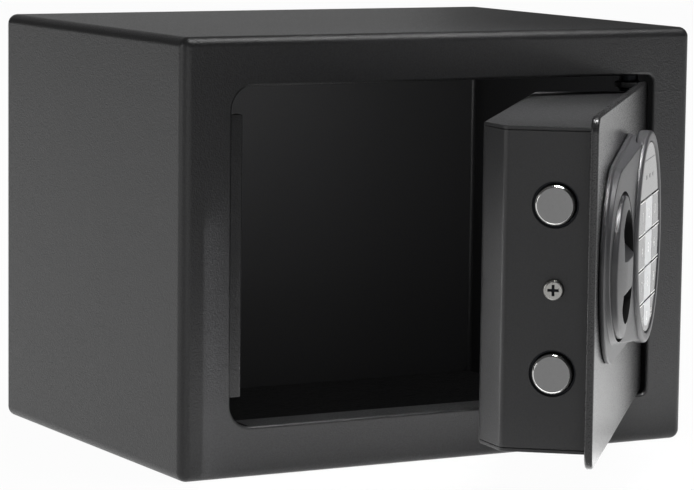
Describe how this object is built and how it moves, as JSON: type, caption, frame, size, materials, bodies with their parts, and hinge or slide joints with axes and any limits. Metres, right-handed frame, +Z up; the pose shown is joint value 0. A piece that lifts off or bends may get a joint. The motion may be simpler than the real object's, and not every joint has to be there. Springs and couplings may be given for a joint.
{
  "type": "portable car safe",
  "caption": "Small sheet-steel safe with a right-hung door that stands open, a turning knob, an oval keypad, round locking bolts and a carpet mat.",
  "frame": {"origin": "centre of the body's underside", "axes": "+Z up, +X to the right as seen from the front, -Y out of the front"},
  "size_m": [0.23, 0.3081, 0.17],
  "materials": {
    "body_paint": "fine-texture powder coat",
    "door_paint": "fine-texture powder coat",
    "cover_paint": "fine-texture powder coat",
    "plated_steel": "zinc plated",
    "bare_steel": "plain",
    "dark_plastic": "fine spark-eroded texture",
    "black_plastic": "moulded",
    "key_dark": "printed membrane",
    "key_light": "printed membrane",
    "window_dark": "gloss",
    "carpet": "needle-felt carpet",
    "board_green": "solder mask",
    "copper_winding": "enamelled winding",
    "battery_wrap": "plastic sleeve",
    "red_plastic": "gloss",
    "led_red": "gloss",
    "led_green": "gloss",
    "led_amber": "gloss",
    "ribbon_grey": "plain"
  },
  "bodies": {
    "safe": {"body_shell": "body_paint", "rear_panel": "body_paint", "strike_bar": "body_paint", "floor_mat": "carpet", "hinge_plate_upper": "body_paint", "hinge_plate_lower": "body_paint"},
    "knob": {"knob": "dark_plastic", "spindle": "bare_steel", "cam": "bare_steel"},
    "bolts": {"bolt_carrier": "bare_steel", "bolt_upper": "plated_steel", "bolt_lower": "plated_steel"},
    "plunger": {"solenoid_plunger": "plated_steel", "solenoid_spring": "bare_steel"},
    "battery_lid": {"battery_lid": "black_plastic"},
    "reset_button": {"reset_button": "red_plastic"},
    "key_1": {"key_1": "key_dark"},
    "key_2": {"key_2": "key_light"},
    "key_3": {"key_3": "key_dark"},
    "key_4": {"key_4": "key_dark"},
    "key_5": {"key_5": "key_light"},
    "key_6": {"key_6": "key_dark"},
    "key_7": {"key_7": "key_dark"},
    "key_8": {"key_8": "key_light"},
    "key_9": {"key_9": "key_dark"},
    "key_star": {"key_star": "key_dark"},
    "key_0": {"key_0": "key_light"},
    "key_hash": {"key_hash": "key_dark"},
    "door": {"hinge_lug_upper": "door_paint", "hinge_lug_lower": "door_paint", "door_plate": "door_paint", "mechanism_cover": "cover_paint", "cover_screw_side": "plated_steel", "cover_screw_upper": "plated_steel", "cover_screw_lower": "plated_steel", "panel_screw_left": "plated_steel", "panel_screw_right": "plated_steel", "hinge_pin_upper": "bare_steel", "hinge_pin_lower": "bare_steel", "guide_screw_upper": "bare_steel", "guide_screw_lower": "bare_steel", "bolt_bracket": "bare_steel", "solenoid_frame": "bare_steel", "panel_base": "dark_plastic", "keypad_housing": "dark_plastic", "board_tray": "black_plastic", "battery_box": "black_plastic", "reset_switch": "black_plastic", "solenoid_coil": "copper_winding", "control_board": "board_green", "keypad_board": "board_green", "keypad_cable": "ribbon_grey", "battery_1": "battery_wrap", "battery_2": "battery_wrap", "battery_3": "battery_wrap", "battery_4": "battery_wrap", "status_window": "window_dark", "led_red": "led_red", "led_green": "led_green", "led_amber": "led_amber"}
  },
  "joints": [
    {"name": "door_swing", "type": "hinge", "parent": "safe", "child": "door", "pos_m": [0.0905, -0.0765, 0.08465], "axis": [0, 0, 1], "range_deg": [-50.9, 19]},
    {"name": "knob_turn", "type": "hinge", "parent": "door", "child": "knob", "pos_m": [0.00784, -0.19011, 0.08995], "axis": [0.776, -0.6307, 0], "range_deg": [0, 90]},
    {"name": "bolt_slide", "type": "slide", "parent": "door", "child": "bolts", "axis": [-0.6307, -0.776, 0], "range_m": [0, 0.01131]},
    {"name": "plunger_slide", "type": "slide", "parent": "door", "child": "plunger", "axis": [0, 0, -1], "range_m": [0, 0.00401], "deforming": ["solenoid_spring"]},
    {"name": "battery_lid_slide", "type": "slide", "parent": "door", "child": "battery_lid", "axis": [0, 0, 1], "range_m": [0, 0.012]},
    {"name": "reset_press", "type": "slide", "parent": "door", "child": "reset_button", "axis": [0.776, -0.6307, 0], "range_m": [0, 0.0008], "stiffness_N_per_m": 500},
    {"name": "key_1_press", "type": "slide", "parent": "door", "child": "key_1", "axis": [-0.7524, 0.6587, 0], "range_m": [0, 0.0004], "stiffness_N_per_m": 500},
    {"name": "key_2_press", "type": "slide", "parent": "door", "child": "key_2", "axis": [-0.7524, 0.6587, 0], "range_m": [0, 0.0004], "stiffness_N_per_m": 500},
    {"name": "key_3_press", "type": "slide", "parent": "door", "child": "key_3", "axis": [-0.7524, 0.6587, 0], "range_m": [0, 0.0004], "stiffness_N_per_m": 500},
    {"name": "key_4_press", "type": "slide", "parent": "door", "child": "key_4", "axis": [-0.7524, 0.6587, 0], "range_m": [0, 0.0004], "stiffness_N_per_m": 500},
    {"name": "key_5_press", "type": "slide", "parent": "door", "child": "key_5", "axis": [-0.7524, 0.6587, 0], "range_m": [0, 0.0004], "stiffness_N_per_m": 500},
    {"name": "key_6_press", "type": "slide", "parent": "door", "child": "key_6", "axis": [-0.7524, 0.6587, 0], "range_m": [0, 0.0004], "stiffness_N_per_m": 500},
    {"name": "key_7_press", "type": "slide", "parent": "door", "child": "key_7", "axis": [-0.7524, 0.6587, 0], "range_m": [0, 0.0004], "stiffness_N_per_m": 500},
    {"name": "key_8_press", "type": "slide", "parent": "door", "child": "key_8", "axis": [-0.7524, 0.6587, 0], "range_m": [0, 0.0004], "stiffness_N_per_m": 500},
    {"name": "key_9_press", "type": "slide", "parent": "door", "child": "key_9", "axis": [-0.7524, 0.6587, 0], "range_m": [0, 0.0004], "stiffness_N_per_m": 500},
    {"name": "key_star_press", "type": "slide", "parent": "door", "child": "key_star", "axis": [-0.7524, 0.6587, 0], "range_m": [0, 0.0004], "stiffness_N_per_m": 500},
    {"name": "key_0_press", "type": "slide", "parent": "door", "child": "key_0", "axis": [-0.7524, 0.6587, 0], "range_m": [0, 0.0004], "stiffness_N_per_m": 500},
    {"name": "key_hash_press", "type": "slide", "parent": "door", "child": "key_hash", "axis": [-0.7524, 0.6587, 0], "range_m": [0, 0.0004], "stiffness_N_per_m": 500}
  ],
  "couplings": [
    {"joint": "knob_turn", "follows": "bolt_slide", "rad_per_m": 138.85},
    {"joint": "plunger_slide", "follows": "bolt_slide", "ratio": 0.35355}
  ]
}
